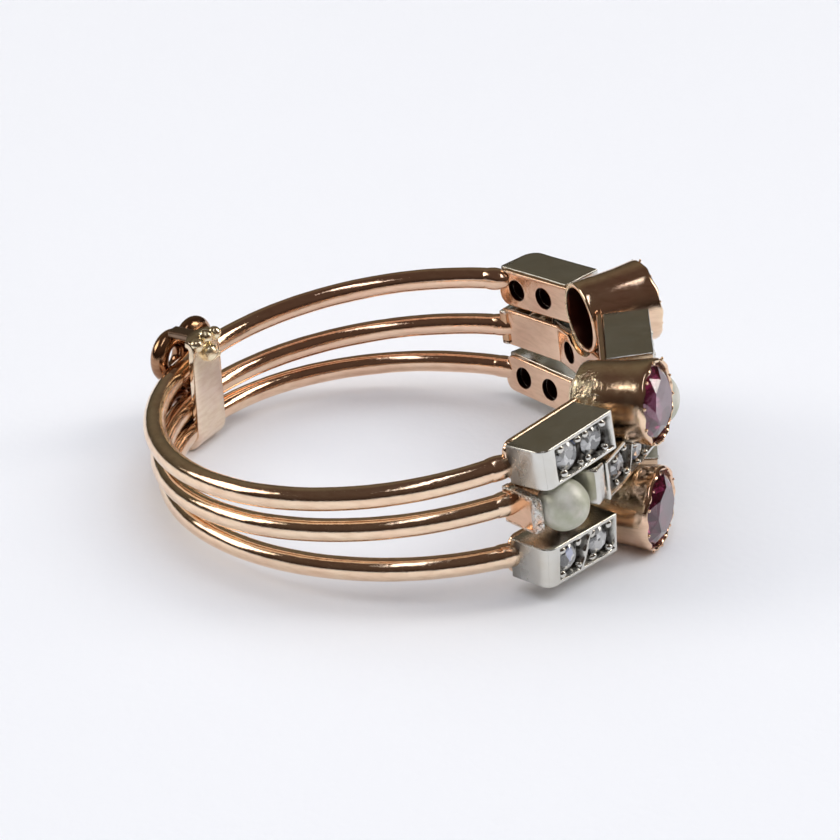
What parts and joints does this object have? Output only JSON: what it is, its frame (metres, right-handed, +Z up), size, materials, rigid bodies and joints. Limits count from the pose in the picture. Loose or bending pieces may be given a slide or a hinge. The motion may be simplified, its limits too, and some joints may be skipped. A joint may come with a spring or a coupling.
{
  "type": "ruby ring",
  "caption": "Wide open three-wire ring with silver diamond-set blocks, collet-set rubies and pearls across the front and a strap keeper at the back.",
  "frame": {"origin": "the centre of the bounding box at the surface that the ring lies on", "axes": "the ring lies on its side: +Z is up along the finger's axis, +X points from the keeper side to the jewelled front, +Y runs along the front"},
  "size_m": [0.0204, 0.019, 0.0075],
  "materials": {
    "gold": "worn polish",
    "silver": "worn polish, greyed in the recesses",
    "ruby": "faceted and polished",
    "diamond": "faceted and polished",
    "pearl": "soft lustre"
  },
  "bodies": {
    "root": {"top_band": "gold", "middle_band": "gold", "bottom_band": "gold", "keeper": "gold", "top_near_block": "silver", "top_front_block": "silver", "top_far_block": "silver", "middle_near_block": "silver", "middle_far_block": "silver", "bottom_near_block": "silver", "bottom_front_block": "silver", "bottom_far_block": "silver", "near_outer_bar": "silver", "near_inner_bar": "silver", "far_inner_bar": "silver", "far_outer_bar": "silver", "top_near_ruby": "ruby", "top_far_ruby": "ruby", "bottom_near_ruby": "ruby", "bottom_far_ruby": "ruby", "near_pearl": "pearl", "front_pearl": "pearl", "far_pearl": "pearl", "top_near_diamond_1": "diamond", "top_near_diamond_2": "diamond", "top_front_diamond_1": "diamond", "top_front_diamond_2": "diamond", "top_far_diamond_1": "diamond", "top_far_diamond_2": "diamond", "middle_near_diamond_1": "diamond", "middle_near_diamond_2": "diamond", "middle_far_diamond_1": "diamond", "middle_far_diamond_2": "diamond", "bottom_near_diamond_1": "diamond", "bottom_near_diamond_2": "diamond", "bottom_front_diamond_1": "diamond", "bottom_front_diamond_2": "diamond", "bottom_far_diamond_1": "diamond", "bottom_far_diamond_2": "diamond"}
  },
  "joints": []
}
